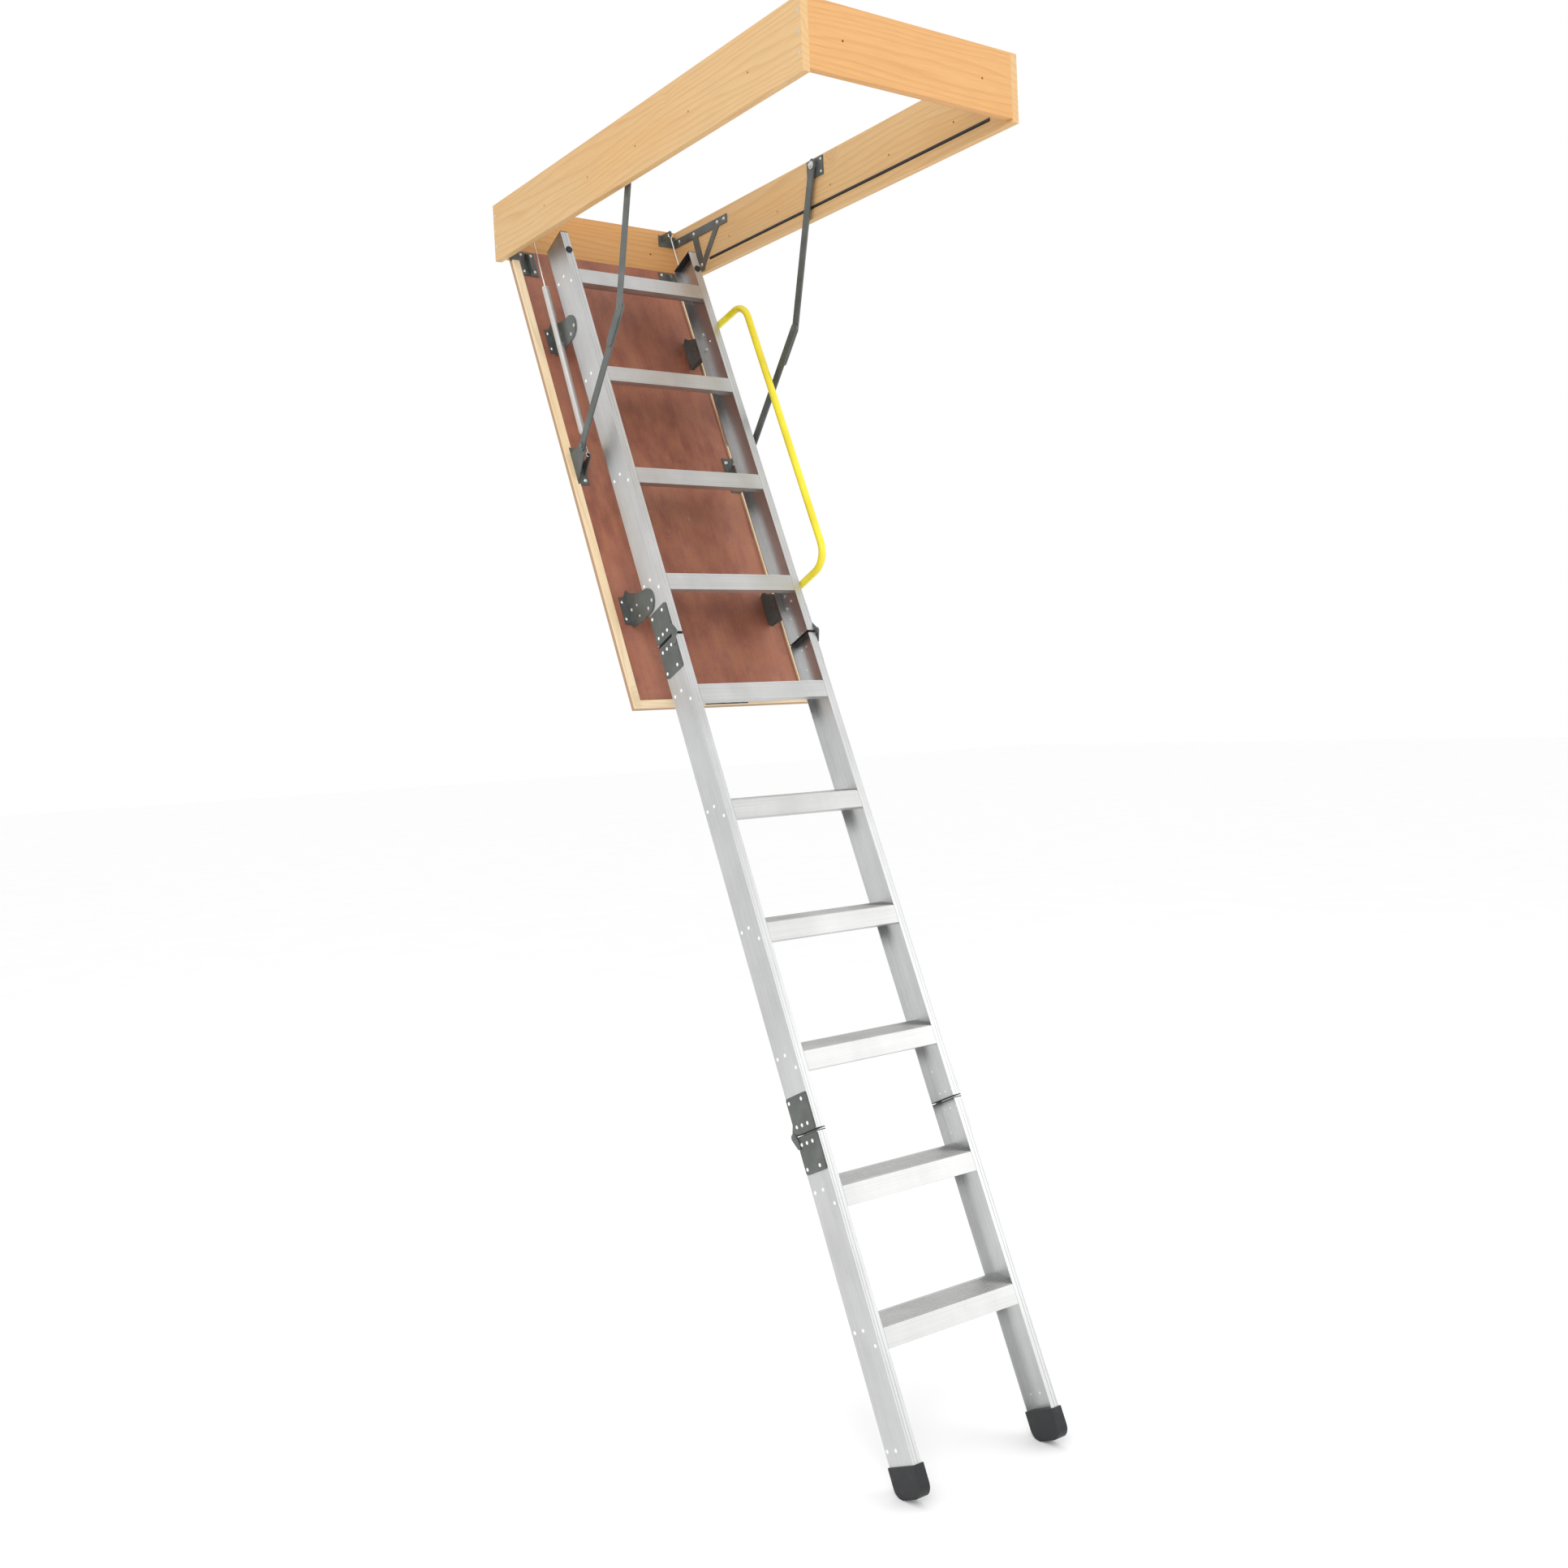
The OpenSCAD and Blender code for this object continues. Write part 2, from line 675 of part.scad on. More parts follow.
top_holes = concat(step_holes(1, 4), joint_holes(top_joint_u, -1));
middle_holes = concat(step_holes(5, 8), joint_holes(top_joint_u, 1), joint_holes(low_joint_u, -1));
bottom_holes = concat(step_holes(9, 10), joint_holes(low_joint_u, 1), boot_rivets);
bracket_holes =
    [for (c = [upper_bracket_u, lower_bracket_u], p = bracket_bolts) [c + p[0], p[1]]];
handrail_holes = [[upper_leg_u, leg_bolt_v], [lower_leg_u, leg_bolt_v]];

module rail(side, u0, u1, holes, bolt_holes) {
    color(ALUMINIUM) on_door() difference() {
        rail_blank(side, u0, u1);
        web_holes(side, holes, rivet_r + hole_gap);
        web_holes(side, bolt_holes, bolt_r + hole_gap);
    }
}

module top_left_rail() { rail(left, rail_top_u, top_joint_u - rail_cut, top_holes, bracket_holes); }
module top_right_rail() {
    rail(right, rail_top_u, top_joint_u - rail_cut, top_holes, concat(bracket_holes, handrail_holes));
}
module middle_left_rail() {
    rail(left, top_joint_u + rail_cut, low_joint_u - rail_cut, middle_holes, []);
}
module middle_right_rail() {
    rail(right, top_joint_u + rail_cut, low_joint_u - rail_cut, middle_holes, []);
}
module bottom_left_rail() { rail(left, low_joint_u + rail_cut, rail_end_u, bottom_holes, []); }
module bottom_right_rail() { rail(right, low_joint_u + rail_cut, rail_end_u, bottom_holes, []); }

// Black end cap that closes a rail's end.
module end_cap(side, u0) {
    uv_box([side * rail_out, side * flange_in], [u0, u0 + cap_t], [rail_back, rail_front + cap_lip]);
}

module top_end_caps() {
    color(BLACK) on_door() for (side = [left, right]) end_cap(side, top_joint_u - rail_cut);
}

module middle_end_caps() {
    color(BLACK) on_door()
        for (side = [left, right], u0 = [top_joint_u + rail_cut - cap_t, low_joint_u - rail_cut])
            end_cap(side, u0);
}

module bottom_end_caps() {
    color(BLACK) on_door() for (side = [left, right]) end_cap(side, low_joint_u + rail_cut - cap_t);
}

// Round stops on the front flanges that keep the folded sections apart.
module bumper_plugs() {
    color(BLACK) on_door() for (side = [left, right]) {
        translate([side * bumper_x, -bumper_u, rail_front]) cylinder(h = bumper_h, r = bumper_r);
        translate([side * bumper_x, -bumper_u, rail_front + bumper_h - eps])
            cylinder(h = bumper_h / 2, r1 = bumper_r, r2 = bumper_r - bumper_h / 2);
        uv_box([side * rail_out, side * flange_in], [rail_top_u - cap_t, rail_top_u],
            [rail_back, rail_front]);
    }
}

// ---------------------------------------------------------------- folding joints

// A plate of a folding joint drawn from its pin: out is 1 where the pin stands in front of the rail
// and -1 where it stands behind it, and dir is -1 above the joint and 1 below it.
module joint_plate_points(x0, x1, centre, dir, v_pin, out, points) {
    uv_plate(x0, x1, [for (p = points) [centre + dir * p[0], v_pin + out * p[1]]]);
}

module joint_plate_body(side, centre, dir, v_pin, out) {
    a = [centre + dir * joint_plate_a[0], centre + dir * joint_plate_a[1]];
    b = [v_pin + out * joint_plate_b[0], v_pin + out * joint_plate_b[1]];
    uv_round_plate(side * rail_out, side * (rail_out + plate_t), [min(a), max(a)], [min(b), max(b)],
        joint_corner_r);
}

// Where the ear's sloping edge meets the round lug.
ear_angle = atan2(ear_start[1], ear_start[0]) + acos(lug_r / norm(ear_start));
ear_tangent = [lug_r * cos(ear_angle), lug_r * sin(ear_angle)];

// Lower layer of a joint: the plate that carries the pin in its lug.
module pin_plate(side, centre, dir, v_pin, out) {
    x = [side * rail_out, side * (rail_out + plate_t)];
    head_x = rail_out + 2 * plate_t + 2 * slide_gap;
    difference() {
        union() {
            joint_plate_body(side, centre, dir, v_pin, out);
            joint_plate_points(x[0], x[1], centre, dir, v_pin, out,
                [ear_start, ear_tangent, [0, 0], [joint_plate_a[0], -lug_r], [ear_start[0], -lug_r]]);
            uv_rod(x[0], x[1], lug_r, centre, v_pin);
        }
        for (p = joint_holes(centre, dir))
            uv_rod(side * (rail_out - 1), side * (rail_out + 4), rivet_r + hole_gap, p[0], p[1]);
        // sliding clearance over the other section's rail
        joint_plate_points(side * (rail_out - 1), side * (rail_out + slide_gap), centre, dir, v_pin, out,
            [[1, 10], [-10, 10], [-10, -10], [1, -10]]);
    }
    uv_rod(side * (rail_out + slide_gap), side * head_x, joint_pin_r, centre, v_pin);
    dome_x(side * head_x, side, 6, 1.8, -centre, v_pin);
}

// Upper layer of a joint: a plate whose lug is stepped outwards and turns on the pin.
module lug_plate(side, centre, dir, v_pin, out) {
    lug_x = [side * (rail_out + plate_t + slide_gap), side * (rail_out + 2 * plate_t + slide_gap)];
    difference() {
        union() {
            difference() {
                joint_plate_body(side, centre, dir, v_pin, out);
                uv_rod(side * (rail_out - 1), side * (rail_out + 4), lug_room_r, centre, v_pin);
            }
            joint_plate_points(lug_x[0], lug_x[1], centre, dir, v_pin, out,
                concat([ear_start, ear_tangent, [0, 0], [0, -lug_r]], ear_root));
            joint_plate_points(side * (rail_out + 1), lug_x[1], centre, dir, v_pin, out,
                [[joggle_a[0], ear_start[1]], ear_start, ear_root[1], [joggle_a[0], ear_root[1][1]]]);
            uv_rod(lug_x[0], lug_x[1], lug_r, centre, v_pin);
        }
        for (p = joint_holes(centre, dir))
            uv_rod(side * (rail_out - 1), side * (rail_out + 4), rivet_r + hole_gap, p[0], p[1]);
        uv_rod(side * (rail_out + 2), side * (rail_out + 9), joint_pin_r + run_gap, centre, v_pin);
    }
}

module top_joint_plates() {
    color(STEEL) on_door() for (side = [left, right]) pin_plate(side, top_joint_u, -1, top_joint_v, 1);
}

module middle_joint_plates() {
    color(STEEL) on_door() for (side = [left, right]) {
        lug_plate(side, top_joint_u, 1, top_joint_v, 1);
        pin_plate(side, low_joint_u, -1, low_joint_v, -1);
    }
}

module bottom_joint_plates() {
    color(STEEL) on_door() for (side = [left, right]) lug_plate(side, low_joint_u, 1, low_joint_v, -1);
}

module section_rivets(steps, joints) {
    color(ZINC) on_door() for (side = [left, right]) {
        for (p = steps) rivet(side, rail_out, web_in - end_plate_t, p[0], p[1]);
        for (p = joints) rivet(side, rail_out + plate_t, web_in, p[0], p[1]);
    }
}

module top_rivets() { section_rivets(step_holes(1, 4), joint_holes(top_joint_u, -1)); }
module middle_rivets() {
    section_rivets(step_holes(5, 8), concat(joint_holes(low_joint_u, -1), joint_holes(top_joint_u, 1)));
}
module bottom_rivets() {
    section_rivets(step_holes(9, 10), joint_holes(low_joint_u, 1));
    color(ZINC) on_door() for (side = [left, right], p = boot_rivets)
        rivet(side, rail_out, web_in, p[0], p[1]);
}

// ---------------------------------------------------------------- steps

// Side view of a tread: a ribbed top, a deep skirt in front that lies in the rails' front plane,
// a short skirt at the back, and turned-in lips.
module tread_profile(k) {
    module wall(d0, h0, d1, h1) {
        polygon([for (p = [[d0, h0], [d1, h0], [d1, h1], [d0, h1]])
            [-tread_u(k, p[0], p[1]), tread_v(p[0], p[1])]]);
    }
    nose = nose_u(k);
    intersection() {
        union() {
            wall(-2, 0, tread_depth, tread_wall);
            for (i = [0:rib_count - 1])
                wall(4 + i * rib_pitch, -rib_h, 4 + i * rib_pitch + rib_w, tread_wall);
            wall(tread_depth - tread_wall, 0, tread_depth, back_skirt_h);
            wall(tread_depth - 12, back_skirt_h - tread_wall, tread_depth, back_skirt_h);
        }
        span2([-nose - 200, -nose + 200], [0, rail_front]);
    }
    span2([-nose - skirt_h, -nose], [rail_front - tread_wall, rail_front]);
    span2([-nose - skirt_h, -nose - skirt_h + tread_wall], [rail_front - 16, rail_front]);
}

// End plate of a step, which is riveted to the rail's web.
module step_end_plate(side, k) {
    u = nose_u(k);
    x = [side * web_in, side * (web_in - end_plate_t)];
    difference() {
        uv_plate(x[0], x[1], [
            [u - 3, flange_v[1]], [u + skirt_h - 2, flange_v[1]], [u + skirt_h - 2, rail_front - 24],
            [u + 2, flange_v[0]], [u - 30, flange_v[0]]]);
        for (p = step_rivets)
            uv_rod(side * (web_in + 1), side * (web_in - 6), rivet_r + hole_gap, u + p[0], p[1]);
    }
}

module step(k) {
    tenon = web_in;
    color(ALUMINIUM) on_door() {
        difference() {
            translate([-tenon, 0, 0]) rotate([90, 0, 90]) linear_extrude(2 * tenon) tread_profile(k);
            // room for the rails' flanges
            for (side = [left, right], v = [[0, flange_v[0]], [flange_v[1], rail_front + 9]])
                uv_box([side * (flange_in - 0.5), side * (rail_out + 1)],
                    [nose_u(k) - tread_depth, nose_u(k) + tread_depth], v);
            for (side = [left, right], p = step_rivets)
                uv_rod(side * (web_in + 1), side * (web_in - 6), rivet_r + hole_gap,
                    nose_u(k) + p[0], p[1]);
        }
        for (side = [left, right]) step_end_plate(side, k);
    }
}

module step_1() { step(1); }
module step_2() { step(2); }
module step_3() { step(3); }
module step_4() { step(4); }
module step_5() { step(5); }
module step_6() { step(6); }
module step_7() { step(7); }
module step_8() { step(8); }
module step_9() { step(9); }
module step_10() { step(10); }

// ---------------------------------------------------------------- handrail

// One leg of the handrail: a flattened tab on the rail that widens into a round tube, a straight
// leg and the bend to the grip. dir is 1 for the upper leg and -1 for the lower one.
module handrail_leg(bolt_u, tilt, dir) {
    centre_v = grip_v - grip_bend;
    bend_v = centre_v + grip_bend * sin(tilt);
    leg_l = (bend_v - leg_bolt_v) / cos(tilt);
    translate([0, -bolt_u, leg_bolt_v]) rotate([dir * tilt, 0, 0]) {
        translate([grip_x, 0, flare_end]) cylinder(h = leg_l - flare_end + bend_lap, r = handrail_r);
        difference() {
            union() {
                span([rail_out, rail_out + tab_t], [-tab_half, tab_half], [0, flare_start + 1]);
                rod_x(rail_out, rail_out + tab_t, tab_half, 0, 0);
            }
            rod_x(rail_out - 1, rail_out + tab_t + 1, bolt_r + hole_gap, 0, 0);
        }
        // the flattened tube's taper: a cone cut flat on its inner and outer sides
        intersection() {
            translate([grip_x, 0, flare_start])
                cylinder(h = flare_end + 2 - flare_start, r1 = flare_r, r2 = handrail_r - 0.9);
            rotate([90, 0, 0]) translate([0, 0, -flare_r]) linear_extrude(2 * flare_r) polygon([
                [rail_out, flare_start - 1], [rail_out + tab_t, flare_start],
                [grip_x + handrail_r + 4, flare_end + 3], [rail_out + 3, flare_end + 3]]);
            span([rail_out, grip_x + 20], [-flare_half, flare_half], [flare_start - 2, flare_end + 4]);
        }
    }
    translate([grip_x, -arc_u(bolt_u, tilt, dir), centre_v]) rotate([90, 0, -90 * dir])
        rotate([0, 0, 90]) rotate_extrude(angle = 90 - tilt) translate([grip_bend, 0])
            circle(r = handrail_r + bend_swell);
}

// Distance down the ladder of a bend's centre.
function arc_u(bolt_u, tilt, dir) =
    bolt_u + dir * (grip_bend * cos(tilt)
        + tan(tilt) * (grip_v - grip_bend + grip_bend * sin(tilt) - leg_bolt_v));

module handrail() {
    u0 = arc_u(upper_leg_u, upper_leg_tilt, 1);
    u1 = arc_u(lower_leg_u, lower_leg_tilt, -1);
    color(YELLOW) on_door() {
        handrail_leg(upper_leg_u, upper_leg_tilt, 1);
        handrail_leg(lower_leg_u, lower_leg_tilt, -1);
        translate([grip_x, -u0 + bend_lap, grip_v]) rotate([90, 0, 0])
            cylinder(h = u1 - u0 + 2 * bend_lap, r = handrail_r);
    }
}

module handrail_bolts() {
    color(ZINC) on_door() for (u = [upper_leg_u, lower_leg_u])
        rail_bolt(right, rail_out + tab_t, u, leg_bolt_v, 6, 2.6);
}

// ---------------------------------------------------------------- feet

// Rubber boot on the end of a rail, with grip grooves across its sole.
module foot(side) {
    x_out = rail_out + boot_wall;
    x_in = flange_in - boot_wall;
    v = [rail_back - boot_wall, rail_front + boot_wall];
    color(BLACK) on_door() difference() {
        union() {
            uv_box([side * x_out, side * x_in], [boot_start_u, boot_end_u - boot_round], v);
            for (corner_v = [v[0] + boot_round, v[1] - boot_round])
                uv_rod(side * x_out, side * x_in, boot_round, boot_end_u - boot_round, corner_v);
            uv_box([side * x_out, side * x_in], [boot_end_u - boot_round - 1, boot_end_u],
                [v[0] + boot_round, v[1] - boot_round]);
        }
        rail_blank(side, boot_start_u - 1, rail_end_u + 0.3, 0.15);
        for (i = [-2:2])
            uv_box([side * (x_out + 1), side * (x_in - 1)], [boot_end_u - 3, boot_end_u + 1],
                [rail_back + rail_depth / 2 + i * 11 - 1.5, rail_back + rail_depth / 2 + i * 11 + 1.5]);
    }
}

module left_foot() { foot(left); }
module right_foot() { foot(right); }

// ---------------------------------------------------------------- folding arms

// Where the lower arm's pivot stands in the frame, and the way from the elbow to it.
door_pivot_y = hinge_y - arm_u * cos(open_angle) - arm_v * sin(open_angle);
door_pivot_z = -arm_u * sin(open_angle) + arm_v * cos(open_angle);
tail_angle = atan2(door_pivot_z - elbow_z, door_pivot_y - elbow_y);

// Upper arm, turning on the frame: past the elbow it bends into line with the open lower arm.
module upper_arm(side) {
    x = [side * upper_arm_x, side * (upper_arm_x + arm_t)];
    color(STEEL) difference() {
        union() {
            flat_bar(x[0], x[1], [arm_y, arm_z], [elbow_y, elbow_z], arm_half_w, 4, 0);
            translate([0, elbow_y, elbow_z]) rotate([tail_angle, 0, 0]) {
                span(x, [0, arm_tail_l], [-arm_tail_half, arm_tail_half]);
                rod_x(x[0], x[1], arm_tail_half, arm_tail_l, 0);
            }
            rod_x(x[1] - side, x[1] + side, 5, elbow_y, elbow_z);
            dome_x(x[1], side, 8, 2.4, elbow_y, elbow_z);
        }
        rod_x(side * (upper_arm_x - 1), side * (upper_arm_x + arm_t + 1), arm_pin_r + run_gap,
            arm_y, arm_z);
    }
}

module left_upper_arm() { upper_arm(left); }
module right_upper_arm() { upper_arm(right); }

// Lower arm, turning on the door's bracket.
module lower_arm(side) {
    x = [side * lower_arm_x, side * (lower_arm_x + arm_t)];
    color(STEEL) difference() {
        union() {
            flat_bar(x[0], x[1], [door_pivot_y, door_pivot_z], [elbow_y, elbow_z], arm_half_w, 4, 4);
            rod_x(x[0] - side, x[0] + side, 5, elbow_y, elbow_z);
            dome_x(x[0], -side, 8, 2.4, elbow_y, elbow_z);
        }
        rod_x(side * (lower_arm_x - 1), side * (lower_arm_x + arm_t + 1), arm_pin_r + run_gap,
            door_pivot_y, door_pivot_z);
    }
}

module left_lower_arm() { lower_arm(left); }
module right_lower_arm() { lower_arm(right); }

// ---------------------------------------------------------------- springs

spring_foot_y = hinge_y - spring_u * cos(open_angle) - spring_v * sin(open_angle);
spring_foot_z = -spring_u * sin(open_angle) + spring_v * cos(open_angle);

// Tension spring from the hanger's eye to the door's bracket: the coil as a plain rod, a long wire
// above it, a short one below it and a loop through each eye.
module spring(side) {
    length = norm([spring_foot_y - spring_y, spring_foot_z - spring_z]);
    angle = atan2(spring_foot_z - spring_z, spring_foot_y - spring_y);
    color(ZINC) translate([side * spring_x, spring_y, spring_z]) rotate([angle, 0, 0]) rotate([-90, 0, 0]) {
        translate([0, 0, coil_start]) cylinder(h = length - coil_start - coil_end, r = spring_r);
        for (z = [loop_r, length - loop_r])
            translate([0, 0, z]) rotate([90, 0, 0])
                rotate_extrude() translate([loop_r, 0]) circle(r = wire_r, $fn = 24);
        for (z = [[2 * loop_r - 0.5, coil_start + 1], [length - coil_end - 1, length - 2 * loop_r + 0.5]])
            translate([0, 0, z[0]]) cylinder(h = z[1] - z[0], r = wire_r, $fn = 24);
    }
}

module left_spring() { spring(left); }
module right_spring() { spring(right); }

// ---------------------------------------------------------------- assembly

left_frame_board();
right_frame_board();
hinge_end_board();
near_end_board();
frame_screws();
seal_strips();
left_hinge_hanger();
right_hinge_hanger();
hanger_bolts();
arm_mount_plates();
arm_pivot_studs();
strike_plate();
door_panel();
door_trim();
left_door_hinge();
right_door_hinge();
door_hinge_rivets();
left_arm_bracket();
right_arm_bracket();
arm_bracket_bolts();
latch_plate();
upper_ladder_brackets();
lower_ladder_brackets();
ladder_bracket_bolts();
top_left_rail();
top_right_rail();
top_rivets();
top_joint_plates();
top_end_caps();
bumper_plugs();
handrail();
handrail_bolts();
middle_left_rail();
middle_right_rail();
middle_rivets();
middle_joint_plates();
middle_end_caps();
bottom_left_rail();
bottom_right_rail();
bottom_rivets();
bottom_joint_plates();
bottom_end_caps();
left_foot();
right_foot();
step_1();
step_2();
step_3();
step_4();
step_5();
step_6();
step_7();
step_8();
step_9();
step_10();
left_upper_arm();
right_upper_arm();
left_lower_arm();
right_lower_arm();
left_spring();
right_spring();
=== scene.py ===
import json
import math

import bpy
from mathutils import Matrix, Vector


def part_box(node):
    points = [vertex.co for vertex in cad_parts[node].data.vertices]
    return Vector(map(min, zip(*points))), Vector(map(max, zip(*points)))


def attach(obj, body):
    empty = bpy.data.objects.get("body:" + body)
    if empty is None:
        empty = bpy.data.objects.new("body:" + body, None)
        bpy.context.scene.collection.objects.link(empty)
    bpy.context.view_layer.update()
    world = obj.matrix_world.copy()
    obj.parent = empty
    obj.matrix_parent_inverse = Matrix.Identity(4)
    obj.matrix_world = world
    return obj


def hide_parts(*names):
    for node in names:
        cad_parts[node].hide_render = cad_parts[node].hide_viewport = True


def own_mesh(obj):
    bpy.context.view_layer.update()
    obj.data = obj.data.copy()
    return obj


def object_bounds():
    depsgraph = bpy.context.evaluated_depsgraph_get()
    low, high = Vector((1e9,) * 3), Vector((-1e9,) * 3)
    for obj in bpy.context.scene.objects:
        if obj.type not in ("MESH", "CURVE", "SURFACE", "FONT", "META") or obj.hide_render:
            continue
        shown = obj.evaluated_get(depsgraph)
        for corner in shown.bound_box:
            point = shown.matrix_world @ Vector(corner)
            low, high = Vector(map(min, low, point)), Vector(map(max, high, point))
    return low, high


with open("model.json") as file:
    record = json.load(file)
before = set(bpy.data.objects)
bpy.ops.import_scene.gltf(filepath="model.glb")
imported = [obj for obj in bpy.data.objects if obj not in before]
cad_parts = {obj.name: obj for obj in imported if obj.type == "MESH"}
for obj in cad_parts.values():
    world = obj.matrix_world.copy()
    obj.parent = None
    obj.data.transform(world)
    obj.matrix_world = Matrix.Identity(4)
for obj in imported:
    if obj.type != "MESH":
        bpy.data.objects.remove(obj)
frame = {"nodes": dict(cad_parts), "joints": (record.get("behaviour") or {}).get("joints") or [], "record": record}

cad_low, cad_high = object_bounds()
scene = bpy.context.scene

# ---------------------------------------------------------------- lie of the parts

# The door hangs below its hinge axis by this angle.
OPEN_ANGLE = math.radians(66.3)
hinge = next(j for j in frame["joints"] if j["name"] == "door_hinge")
HINGE_Y = hinge["pos_m"][1]
# Where the side laths of the door's trim begin, across the door.
LATH_X = 0.2505
# Thickness of the door panel, the depth of its underside below the hinge axis, and its plies.
PANEL_T = 0.012
PANEL_BOTTOM = 0.016
PLIES = 5


# ---------------------------------------------------------------- material building

class Graph:
    """One procedural material around a Principled shader."""

    def __init__(self, name):
        self.material = bpy.data.materials.new(name)
        self.material.use_nodes = True
        self.tree = self.material.node_tree
        self.tree.nodes.clear()
        self.shader = self.add("ShaderNodeBsdfPrincipled")
        output = self.add("ShaderNodeOutputMaterial")
        self.tree.links.new(self.shader.outputs["BSDF"], output.inputs["Surface"])
        self.place = self.add("ShaderNodeTexCoord").outputs["Object"]

    def add(self, kind, **settings):
        node = self.tree.nodes.new(kind)
        for key, value in settings.items():
            setattr(node, key, value)
        return node

    def put(self, socket, value):
        if isinstance(value, bpy.types.NodeSocket):
            self.tree.links.new(value, socket)
        else:
            socket.default_value = value

    def set(self, **values):
        for key, value in values.items():
            self.put(self.shader.inputs[key.replace("_", " ")], value)

    def calc(self, operation, a, b=0.0, clamp=False):
        node = self.add("ShaderNodeMath", operation=operation, use_clamp=clamp)
        self.put(node.inputs[0], a)
        self.put(node.inputs[1], b)
        return node.outputs[0]

    def stretch(self, vector, factors):
        node = self.add("ShaderNodeVectorMath", operation="MULTIPLY")
        self.put(node.inputs[0], vector)
        self.put(node.inputs[1], factors)
        return node.outputs[0]

    def turn_down(self, vector):
        """Coordinates that lie along the open door: Y runs up the door and Z stands on it."""
        node = self.add("ShaderNodeVectorRotate", rotation_type="X_AXIS")
        self.put(node.inputs["Vector"], vector)
        node.inputs["Center"].default_value = (0, HINGE_Y, 0)
        node.inputs["Angle"].default_value = -OPEN_ANGLE
        return node.outputs[0]

    def split(self, vector):
        node = self.add("ShaderNodeSeparateXYZ")
        self.put(node.inputs[0], vector)
        return node.outputs

    def join(self, x, y, z):
        node = self.add("ShaderNodeCombineXYZ")
        for socket, value in zip(node.inputs, (x, y, z)):
            self.put(socket, value)
        return node.outputs[0]

    def noise(self, vector, scale=1.0, detail=3.0, rough=0.55, distortion=0.0):
        node = self.add("ShaderNodeTexNoise")
        self.put(node.inputs["Vector"], vector)
        for key, value in (("Scale", scale), ("Detail", detail), ("Roughness", rough),
                           ("Distortion", distortion)):
            node.inputs[key].default_value = value
        return node.outputs["Fac"]

    def cells(self, vector, scale):
        node = self.add("ShaderNodeTexVoronoi")
        self.put(node.inputs["Vector"], vector)
        node.inputs["Scale"].default_value = scale
        return node.outputs["Distance"]

    def ramp(self, value, *stops):
        node = self.add("ShaderNodeValToRGB")
        self.put(node.inputs[0], value)
        elements = node.color_ramp.elements
        while len(elements) < len(stops):
            elements.new(0.5)
        for element, (position, colour) in zip(elements, stops):
            element.position = position
            shade = colour if isinstance(colour, tuple) else (colour,) * 3
            element.color = (*shade, 1)
        return node.outputs[0]

    def step(self, value, low, high):
        """0 below low, 1 above high, smooth between them; low above high turns it round."""
        node = self.add("ShaderNodeMapRange", interpolation_type="SMOOTHSTEP")
        self.put(node.inputs["Value"], value)
        if low > high:
            low, high = high, low
            node.inputs["To Min"].default_value, node.inputs["To Max"].default_value = 1, 0
        node.inputs["From Min"].default_value = low
        node.inputs["From Max"].default_value = high
        return node.outputs[0]

    def mix(self, factor, a, b, blend="MIX"):
        node = self.add("ShaderNodeMix", data_type="RGBA", blend_type=blend)
        self.put(node.inputs["Factor"], factor)
        for socket, value in ((node.inputs[6], a), (node.inputs[7], b)):
            self.put(socket, (*value, 1) if isinstance(value, tuple) else value)
        return node.outputs[2]

    def grade(self, value, low, high):
        """Spreads 0 to 1 over low to high."""
        node = self.add("ShaderNodeMapRange")
        self.put(node.inputs["Value"], value)
        node.inputs["To Min"].default_value = low
        node.inputs["To Max"].default_value = high
        return node.outputs[0]

    def bump(self, height, strength, distance, under=None):
        node = self.add("ShaderNodeBump")
        node.inputs["Strength"].default_value = strength
        node.inputs["Distance"].default_value = distance
        self.put(node.inputs["Height"], height)
        if under is not None:
            self.put(node.inputs["Normal"], under)
        return node.outputs[0]


